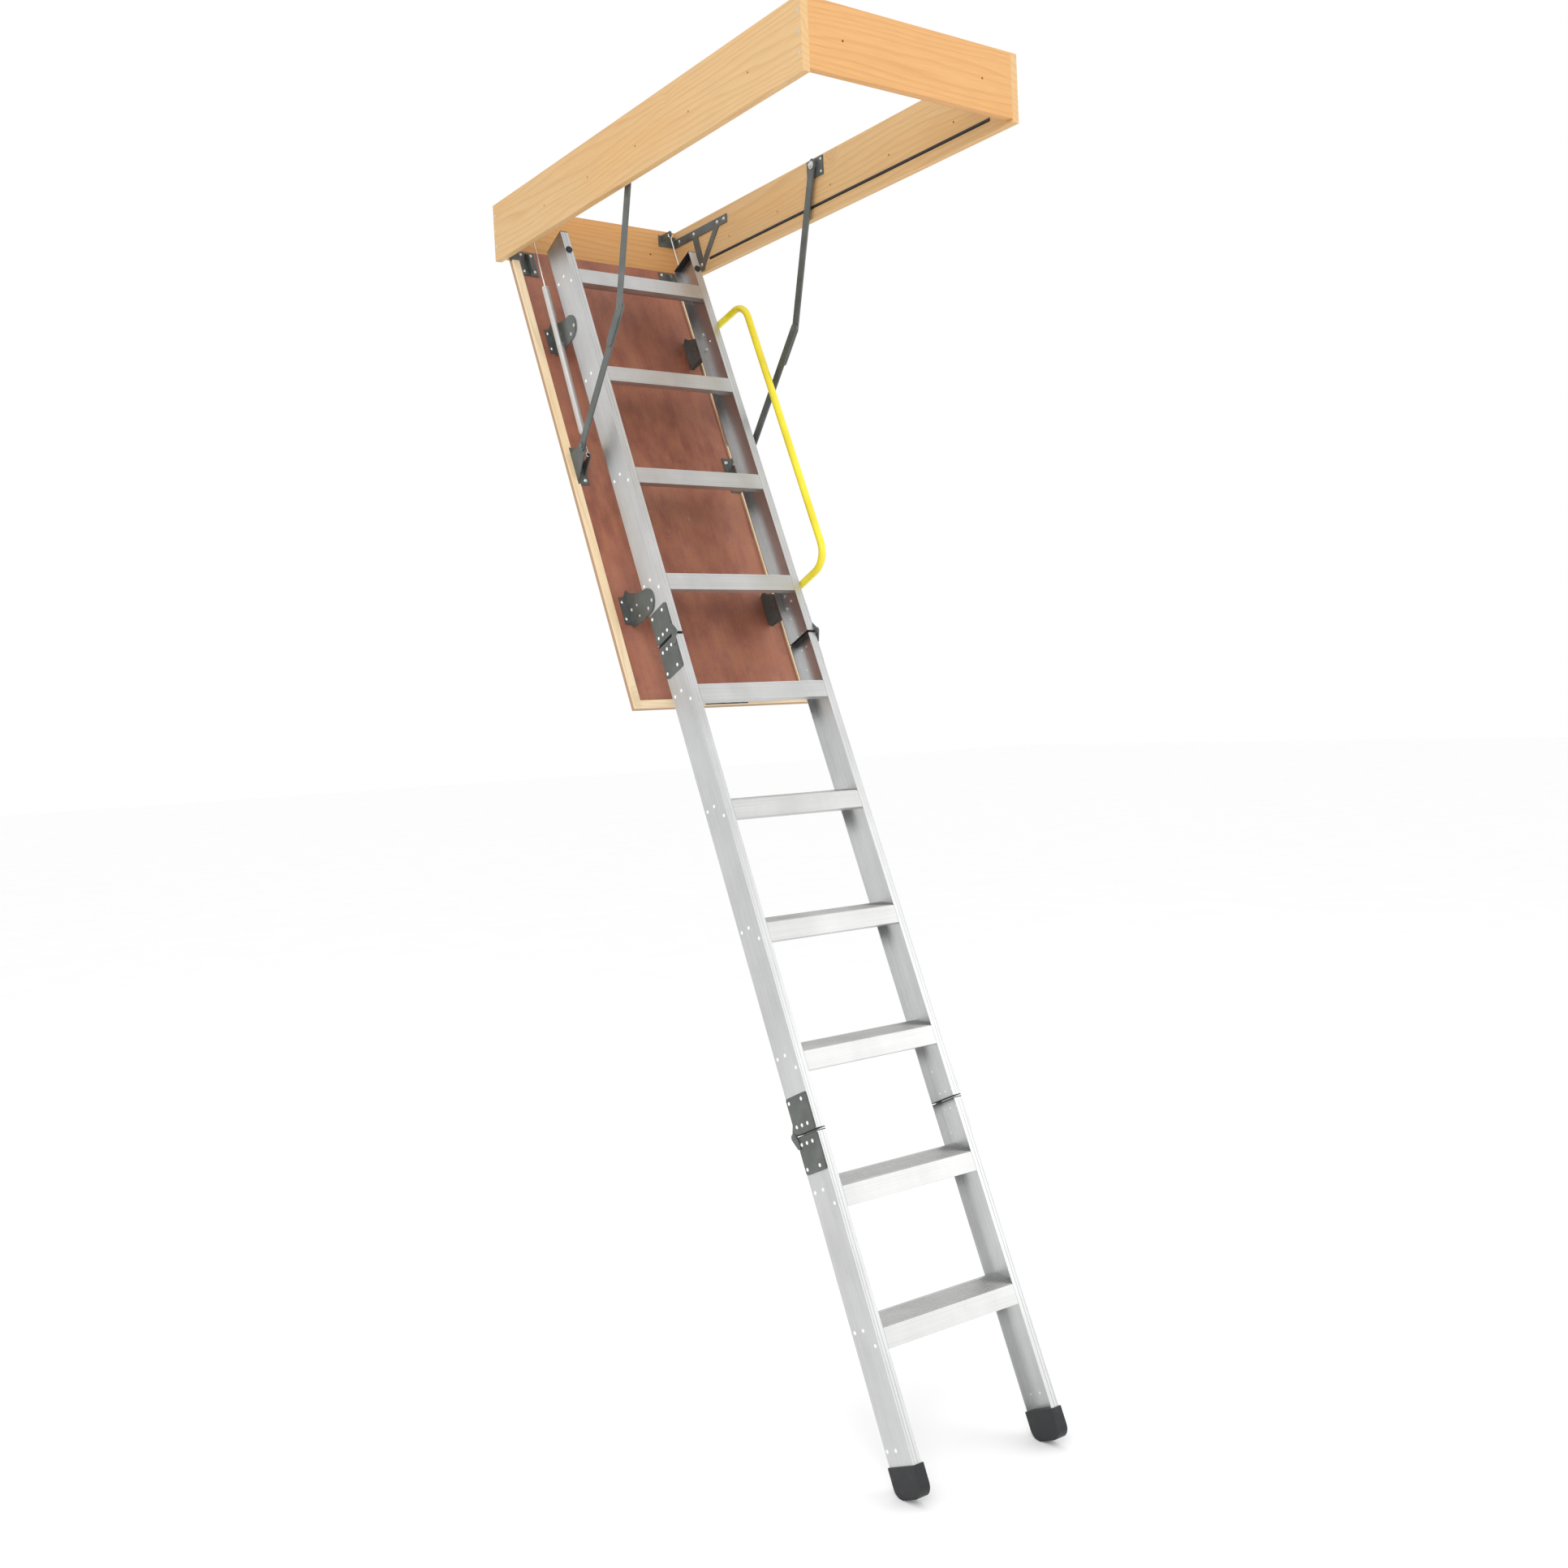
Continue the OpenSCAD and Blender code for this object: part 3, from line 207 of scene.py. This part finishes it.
def pine(name, coordinates, light, dark, knot_r=0.062, knot_scale=3.6):
    """Planed pine. coordinates(graph) gives a vector whose Y runs along the grain."""
    g = Graph(name)
    grain = coordinates(g)
    x, y, z = g.split(grain)[:3]
    knots = g.cells(grain, knot_scale)
    near_knot = g.step(knots, 0.16, 0.0)
    wander = g.noise(g.stretch(grain, (7, 0.8, 7)), 1.0, 2.0)
    across = g.calc("ADD", g.calc("MULTIPLY", x, 40), g.calc("MULTIPLY", z, 62))
    rings = g.calc("ADD", across, g.calc("MULTIPLY", wander, 9))
    rings = g.calc("ADD", rings, g.calc("MULTIPLY", near_knot, 2.4))
    late = g.ramp(g.calc("FRACT", rings), (0.0, 0.12), (0.12, 0.0), (0.55, 0.25), (0.88, 1.0), (1.0, 0.12))
    fibres = g.noise(g.stretch(grain, (900, 14, 900)), 1.0, 3.0)
    tone = g.noise(g.stretch(grain, (9, 1.6, 9)), 1.0, 2.0)
    strength = g.grade(tone, 0.25, 0.75)
    colour = g.mix(g.calc("MULTIPLY", late, strength), light, dark)
    warm = tuple(a * b for a, b in zip(light, (1.0, 0.86, 0.66)))
    colour = g.mix(g.calc("MULTIPLY", g.step(tone, 0.45, 0.75), 0.45), colour, warm)
    colour = g.mix(1.0, colour, g.ramp(fibres, (0.25, 0.86), (0.6, 1.0)), "MULTIPLY")
    core = g.step(g.calc("ADD", knots, g.calc("MULTIPLY", fibres, 0.02)), knot_r, knot_r * 0.72)
    colour = g.mix(g.calc("MULTIPLY", near_knot, 0.35), colour, tuple(c * 0.7 for c in dark))
    colour = g.mix(core, colour, (0.16, 0.062, 0.022))
    g.set(Base_Color=colour, Roughness=g.grade(fibres, 0.62, 0.5), Specular_IOR_Level=0.3)
    relief = g.calc("ADD", g.calc("MULTIPLY", late, 0.4), fibres)
    g.set(Normal=g.bump(relief, 0.35, 0.0006))
    return g.material


def along_y(g):
    return g.place


def along_x(g):
    x, y, z = g.split(g.place)[:3]
    return g.join(y, x, z)


def along_door(g):
    """Grain up the door on the side laths and across it on the end laths."""
    lying = g.turn_down(g.place)
    x, y, z = g.split(lying)[:3]
    side = g.calc("GREATER_THAN", g.calc("ABSOLUTE", x), LATH_X)
    return g.mix(side, g.join(y, x, z), lying)


def door_plywood(name):
    """Red-brown faced plywood: clouded veneer, pale scuffs, and its plies at the edges."""
    g = Graph(name)
    lying = g.turn_down(g.place)
    z = g.split(lying)[2]
    clouds = g.noise(g.stretch(lying, (6, 4, 6)), 1.0, 4.0, 0.6)
    blotches = g.noise(g.stretch(lying, (24, 15, 24)), 1.0, 4.0, 0.62)
    figure = g.noise(g.stretch(lying, (160, 7, 160)), 1.0, 3.0)
    pores = g.noise(g.stretch(lying, (1500, 90, 1500)), 1.0, 2.0)
    colour = g.ramp(clouds, (0.3, (0.24, 0.083, 0.053)), (0.5, (0.33, 0.125, 0.08)),
                    (0.72, (0.4, 0.175, 0.11)))
    colour = g.mix(g.calc("MULTIPLY", g.step(blotches, 0.4, 0.68), 0.45), colour, (0.42, 0.165, 0.085))
    colour = g.mix(g.calc("MULTIPLY", g.step(blotches, 0.48, 0.32), 0.35), colour, (0.24, 0.09, 0.065))
    colour = g.mix(1.0, colour, g.ramp(figure, (0.3, 0.93), (0.65, 1.04)), "MULTIPLY")
    colour = g.mix(1.0, colour, g.ramp(pores, (0.32, 0.8), (0.5, 1.0)), "MULTIPLY")
    smears = g.noise(g.stretch(lying, (15, 30, 15)), 1.0, 6.0, 0.7, 1.2)
    where = g.noise(g.stretch(lying, (3.1, 2.6, 3)), 1.0, 1.0)
    scuffs = g.calc("MULTIPLY", g.step(smears, 0.6, 0.78), g.step(where, 0.5, 0.66))
    colour = g.mix(g.calc("MULTIPLY", scuffs, 0.62), colour, (0.52, 0.42, 0.36))
    # the plies show on the panel's edges only
    normal = g.add("ShaderNodeTexCoord").outputs["Normal"]
    turned = g.add("ShaderNodeVectorRotate", rotation_type="X_AXIS")
    g.put(turned.inputs["Vector"], normal)
    turned.inputs["Angle"].default_value = -OPEN_ANGLE
    upright = g.calc("ABSOLUTE", g.split(turned.outputs[0])[2])
    above_underside = g.calc("ADD", z, PANEL_BOTTOM)
    ply = g.calc("FRACT", g.calc("MULTIPLY", above_underside, PLIES / PANEL_T))
    plies = g.ramp(ply, (0.0, (0.16, 0.075, 0.035)), (0.1, (0.5, 0.33, 0.18)), (0.5, (0.42, 0.25, 0.13)),
                   (0.9, (0.5, 0.33, 0.18)), (1.0, (0.16, 0.075, 0.035)))
    colour = g.mix(g.step(upright, 0.6, 0.5), colour, plies)
    g.set(Base_Color=colour, Roughness=g.grade(g.calc("ADD", blotches, scuffs), 0.38, 0.62))
    g.set(Specular_IOR_Level=0.35)
    g.set(Normal=g.bump(g.calc("ADD", pores, g.calc("MULTIPLY", figure, 0.7)), 0.25, 0.0004))
    return g.material


def aluminium(name, streaks, tint, roughness, grime=0.25):
    """Drawn aluminium with its lines along one axis; streaks is the stretch of those lines."""
    g = Graph(name)
    lying = g.turn_down(g.place)
    lines = g.noise(g.stretch(lying, streaks), 1.0, 4.0, 0.7)
    bands = g.noise(g.stretch(lying, tuple(s * 0.08 for s in streaks)), 1.0, 2.0)
    haze = g.noise(g.stretch(lying, (9, 5, 9)), 1.0, 4.0, 0.6)
    marks = g.noise(g.stretch(lying, (70, 26, 70)), 1.0, 5.0, 0.7, 0.8)
    colour = g.mix(1.0, tint, g.ramp(lines, (0.3, 0.88), (0.7, 1.05)), "MULTIPLY")
    colour = g.mix(1.0, colour, g.ramp(haze, (0.3, 0.88), (0.7, 1.04)), "MULTIPLY")
    colour = g.mix(g.calc("MULTIPLY", g.step(marks, 0.6, 0.78), grime), colour, (0.3, 0.28, 0.25))
    dull = g.calc("ADD", g.calc("MULTIPLY", lines, 0.14), g.calc("MULTIPLY", haze, 0.12))
    dull = g.calc("ADD", dull, g.calc("MULTIPLY", bands, 0.06))
    g.set(Base_Color=colour, Metallic=1.0, Roughness=g.calc("ADD", dull, roughness - 0.16))
    g.set(Normal=g.bump(lines, 0.12, 0.0002))
    return g.material


def painted_steel(name, tint, roughness, worn=(0.36, 0.35, 0.33)):
    """Dark coated steel with a fine orange-peel skin, dust and rubbed spots."""
    g = Graph(name)
    skin = g.noise(g.place, 900, 2.0)
    clouds = g.noise(g.place, 14, 4.0, 0.6)
    rubs = g.noise(g.stretch(g.turn_down(g.place), (120, 60, 120)), 1.0, 6.0, 0.75, 0.6)
    colour = g.mix(1.0, tint, g.ramp(clouds, (0.3, 0.72), (0.7, 1.3)), "MULTIPLY")
    dust = tuple(0.55 * c + 0.1 for c in tint)
    colour = g.mix(g.calc("MULTIPLY", g.step(clouds, 0.52, 0.75), 0.35), colour, dust)
    wear = g.step(rubs, 0.66, 0.74)
    colour = g.mix(g.calc("MULTIPLY", wear, 0.6), colour, worn)
    g.set(Base_Color=colour, Metallic=g.calc("MULTIPLY", wear, 0.6))
    g.set(Roughness=g.calc("ADD", g.calc("MULTIPLY", clouds, 0.22), roughness - 0.1))
    g.set(Normal=g.bump(skin, 0.22, 0.0002))
    return g.material


def bright_metal(name, tint, roughness, warm=(0.62, 0.55, 0.38), metallic=1.0):
    """Plated or turned metal of small fasteners, with a slight yellow cast in patches."""
    g = Graph(name)
    patches = g.noise(g.place, 120, 3.0, 0.6)
    grit = g.noise(g.place, 1400, 3.0, 0.7)
    colour = g.mix(g.calc("MULTIPLY", g.step(patches, 0.45, 0.72), 0.35), tint, warm)
    colour = g.mix(1.0, colour, g.ramp(grit, (0.3, 0.82), (0.65, 1.05)), "MULTIPLY")
    g.set(Base_Color=colour, Metallic=metallic)
    g.set(Roughness=g.calc("ADD", g.calc("MULTIPLY", grit, 0.2), roughness - 0.1))
    g.set(Normal=g.bump(grit, 0.15, 0.0001))
    return g.material


def yellow_paint(name):
    g = Graph(name)
    peel = g.noise(g.place, 260, 2.0)
    clouds = g.noise(g.place, 9, 3.0)
    scratches = g.noise(g.stretch(g.turn_down(g.place), (500, 24, 500)), 1.0, 4.0, 0.7)
    colour = g.mix(g.step(clouds, 0.35, 0.7), (0.78, 0.64, 0.012), (0.86, 0.75, 0.022))
    scratch = g.step(scratches, 0.68, 0.76)
    colour = g.mix(g.calc("MULTIPLY", scratch, 0.35), colour, (0.62, 0.52, 0.12))
    g.set(Base_Color=colour, Coat_Weight=0.45, Coat_Roughness=0.12)
    g.set(Roughness=g.calc("ADD", g.calc("MULTIPLY", scratch, 0.2), 0.3))
    g.set(Normal=g.bump(peel, 0.12, 0.0003))
    return g.material


def black_rubber(name, tint, roughness):
    g = Graph(name)
    grit = g.noise(g.place, 700, 4.0, 0.7)
    dust = g.noise(g.place, 34, 5.0, 0.7)
    colour = g.mix(g.calc("MULTIPLY", g.step(dust, 0.5, 0.8), 0.3), tint, (0.1, 0.095, 0.085))
    colour = g.mix(1.0, colour, g.ramp(grit, (0.3, 0.8), (0.7, 1.15)), "MULTIPLY")
    g.set(Base_Color=colour, Specular_IOR_Level=0.4)
    g.set(Roughness=g.calc("ADD", g.calc("MULTIPLY", dust, 0.25), roughness - 0.12))
    g.set(Normal=g.bump(grit, 0.35, 0.0003))
    return g.material


# ---------------------------------------------------------------- finishes

LIGHT_PINE = (0.7, 0.46, 0.22)
DARK_PINE = (0.57, 0.33, 0.14)
BRIGHT_PINE = (0.88, 0.71, 0.48)
RAIL_STREAKS = (420, 2.5, 420)
STEP_STREAKS = (2.5, 420, 420)

finishes = {
    "side_pine": pine("side_pine", along_y, LIGHT_PINE, DARK_PINE),
    "end_pine": pine("end_pine", along_x, (0.69, 0.38, 0.15), (0.56, 0.27, 0.09)),
    "trim_pine": pine("trim_pine", along_door, BRIGHT_PINE, (0.75, 0.53, 0.31), 0.022),
    "plywood": door_plywood("door_plywood"),
    "rail": aluminium("rail_aluminium", RAIL_STREAKS, (0.63, 0.635, 0.635), 0.42),
    "step": aluminium("step_aluminium", STEP_STREAKS, (0.59, 0.59, 0.585), 0.4),
    "dark_steel": painted_steel("dark_steel", (0.085, 0.095, 0.088), 0.42),
    "zinc": bright_metal("zinc", (0.66, 0.66, 0.65), 0.3),
    "rivet_aluminium": bright_metal("rivet_aluminium", (0.95, 0.95, 0.94), 0.34, (0.88, 0.87, 0.84), 0.3),
    "spring_steel": bright_metal("spring_steel", (0.86, 0.86, 0.85), 0.24, (0.78, 0.76, 0.7)),
    "black_rubber": black_rubber("black_rubber", (0.014, 0.015, 0.017), 0.5),
    "black_plastic": black_rubber("black_plastic", (0.01, 0.01, 0.011), 0.42),
    "yellow_paint": yellow_paint("yellow_paint"),
}
BOARDS = {"left_frame_board": "side_pine", "right_frame_board": "side_pine",
          "hinge_end_board": "end_pine", "near_end_board": "end_pine", "door_trim": "trim_pine",
          "door_panel": "plywood"}
slot_of = {s["node"]: s["material_slot"] for s in frame["record"]["subparts"]}


def finish_of(node):
    if node in BOARDS:
        return finishes[BOARDS[node]]
    if slot_of[node] == "aluminium":
        return finishes["step" if node.startswith("step_") else "rail"]
    return finishes[slot_of[node]]


for name, part in frame["nodes"].items():
    part.data.materials.clear()
    part.data.materials.append(finish_of(name))


# ---------------------------------------------------------------- wound springs

# Radii of the coil's centreline, the wire and the end loops, and the rise of one turn.
COIL_R = 0.0082
WIRE_R = 0.0017
LOOP_R = 0.006
TURN_PITCH = 0.0048
# Straight wire above and below the coil.
TOP_WIRE_L = 0.245
FOOT_WIRE_L = 0.065
# Angles over which an end loop bends, and the turns over which the coil widens to its full radius.
HOOK_START = -150
HOOK_SWEEP = 330
EASE_RATE = 1.4
HOOK_STEPS = 22
TURN_STEPS = 14
WIRE_SIDES = 7


def spring_line(length):
    """Centreline of a tension spring along Z: a loop, a long wire, the coil, a short wire and a loop."""
    def hook():
        points = []
        for i in range(HOOK_STEPS + 1):
            turn = math.radians(HOOK_START + HOOK_SWEEP * i / HOOK_STEPS)
            height = LOOP_R * (1 + math.cos(turn - math.pi))
            points.append(Vector((LOOP_R * math.sin(turn), 0, height)))
        return points

    coil = length - TOP_WIRE_L - FOOT_WIRE_L
    turns = round(coil / TURN_PITCH)
    count = turns * TURN_STEPS
    helix = []
    for i in range(count + 1):
        share = i / count
        ease = min(1.0, EASE_RATE * min(share, 1 - share) * turns)
        angle = 2 * math.pi * turns * share
        radius = COIL_R * math.sin(ease * math.pi / 2)
        helix.append(Vector((radius * math.cos(angle), radius * math.sin(angle), TOP_WIRE_L + coil * share)))
    first = hook()
    last = [Vector((p.x, p.y, length - p.z)) for p in reversed(hook())]
    return first + helix + last


def sweep(name, points, radius, sides, material):
    """A round wire along points, with closed ends."""
    vertices, faces = [], []
    normal = Vector((0, 1, 0))
    for i, point in enumerate(points):
        ahead = points[min(i + 1, len(points) - 1)] - points[max(i - 1, 0)]
        ahead.normalize()
        normal = (normal - ahead * normal.dot(ahead)).normalized()
        side = ahead.cross(normal)
        for k in range(sides):
            angle = 2 * math.pi * k / sides
            vertices.append(point + radius * (math.cos(angle) * normal + math.sin(angle) * side))
    for i in range(len(points) - 1):
        for k in range(sides):
            a, b = i * sides + k, i * sides + (k + 1) % sides
            faces.append((a, b, b + sides, a + sides))
    faces.append(tuple(reversed(range(sides))))
    faces.append(tuple(range(len(vertices) - sides, len(vertices))))
    mesh = bpy.data.meshes.new(name)
    mesh.from_pydata(vertices, [], faces)
    mesh.validate()
    for face in mesh.polygons:
        face.use_smooth = True
    mesh.materials.append(material)
    piece = bpy.data.objects.new(name, mesh)
    scene.collection.objects.link(piece)
    return piece


def place_spring(side):
    swing = next(j for j in frame["joints"] if j["name"] == f"{side}_spring_swing")
    top = Vector(swing["pos_m"])
    low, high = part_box(f"{side}_spring")
    # the loops reach equally far past both eyes, so the box and the upper eye give the lower eye
    foot = Vector((top.x, 0, 0))
    foot.y = low.y + (high.y - top.y)
    foot.z = low.z + (high.z - top.z)
    line = foot - top
    piece = sweep(f"{side}_wound_spring", spring_line(line.length), WIRE_R, WIRE_SIDES,
                  finishes["spring_steel"])
    turn = Vector((0, 0, 1)).rotation_difference(line.normalized())
    piece.data.transform(Matrix.Translation(top) @ turn.to_matrix().to_4x4())
    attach(piece, f"{side}_spring")
    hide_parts(f"{side}_spring")
    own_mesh(piece)


for side in ("left", "right"):
    place_spring(side)


# ---------------------------------------------------------------- floor, light and camera

FLOOR_GREY = 0.99
floor_mesh = bpy.data.meshes.new("floor")
FLOOR_REACH = 40.0
floor_z = cad_low.z
floor_mesh.from_pydata(
    [(-FLOOR_REACH, -FLOOR_REACH, floor_z), (FLOOR_REACH, -FLOOR_REACH, floor_z),
     (FLOOR_REACH, FLOOR_REACH, floor_z), (-FLOOR_REACH, FLOOR_REACH, floor_z)],
    [], [(0, 1, 2, 3)])
floor = bpy.data.objects.new("floor", floor_mesh)
scene.collection.objects.link(floor)
floor_paint = Graph("floor_paint")
speck = floor_paint.noise(floor_paint.place, 3.0, 3.0)
floor_paint.set(Base_Color=floor_paint.ramp(speck, (0.3, FLOOR_GREY * 0.985), (0.7, FLOOR_GREY)),
                Roughness=0.9, Specular_IOR_Level=0.1)
floor_mesh.materials.append(floor_paint.material)

world = bpy.data.worlds.new("studio")
world.use_nodes = True
world.node_tree.nodes["Background"].inputs["Color"].default_value = (1.0, 1.0, 1.0, 1)
world.node_tree.nodes["Background"].inputs["Strength"].default_value = 1.0
scene.world = world


def softbox(name, place, aim, size, watts):
    light = bpy.data.lights.new(name, "AREA")
    light.shape = "SQUARE"
    light.size = size
    light.energy = watts
    lamp = bpy.data.objects.new(name, light)
    lamp.location = place
    lamp.rotation_mode = "QUATERNION"
    lamp.rotation_quaternion = (Vector(aim) - Vector(place)).to_track_quat("-Z", "Y")
    scene.collection.objects.link(lamp)


softbox("key", (-3.2, -4.2, 1.4), (0, -0.2, -1.2), 3.0, 90)
softbox("fill", (3.4, -3.4, -0.4), (0, 0, -1.2), 3.0, 40)

# The camera stands left of and before the ladder and looks slightly down at it.
CAMERA_PLACE = Vector((-2.185, -3.222, -1.280))
HEADING = math.radians(35.15)
DIP = math.radians(2.6)
ROLL = math.radians(2.69)
LENS = 35.6
camera_data = bpy.data.cameras.new("camera")
camera_data.lens = LENS
camera_data.sensor_width = 36
camera = bpy.data.objects.new("camera", camera_data)
scene.collection.objects.link(camera)
scene.camera = camera
camera.matrix_world = (Matrix.Translation(CAMERA_PLACE) @ Matrix.Rotation(-HEADING, 4, "Z")
                       @ Matrix.Rotation(math.pi / 2 - DIP, 4, "X") @ Matrix.Rotation(-ROLL, 4, "Z"))

scene.view_settings.view_transform = "Standard"
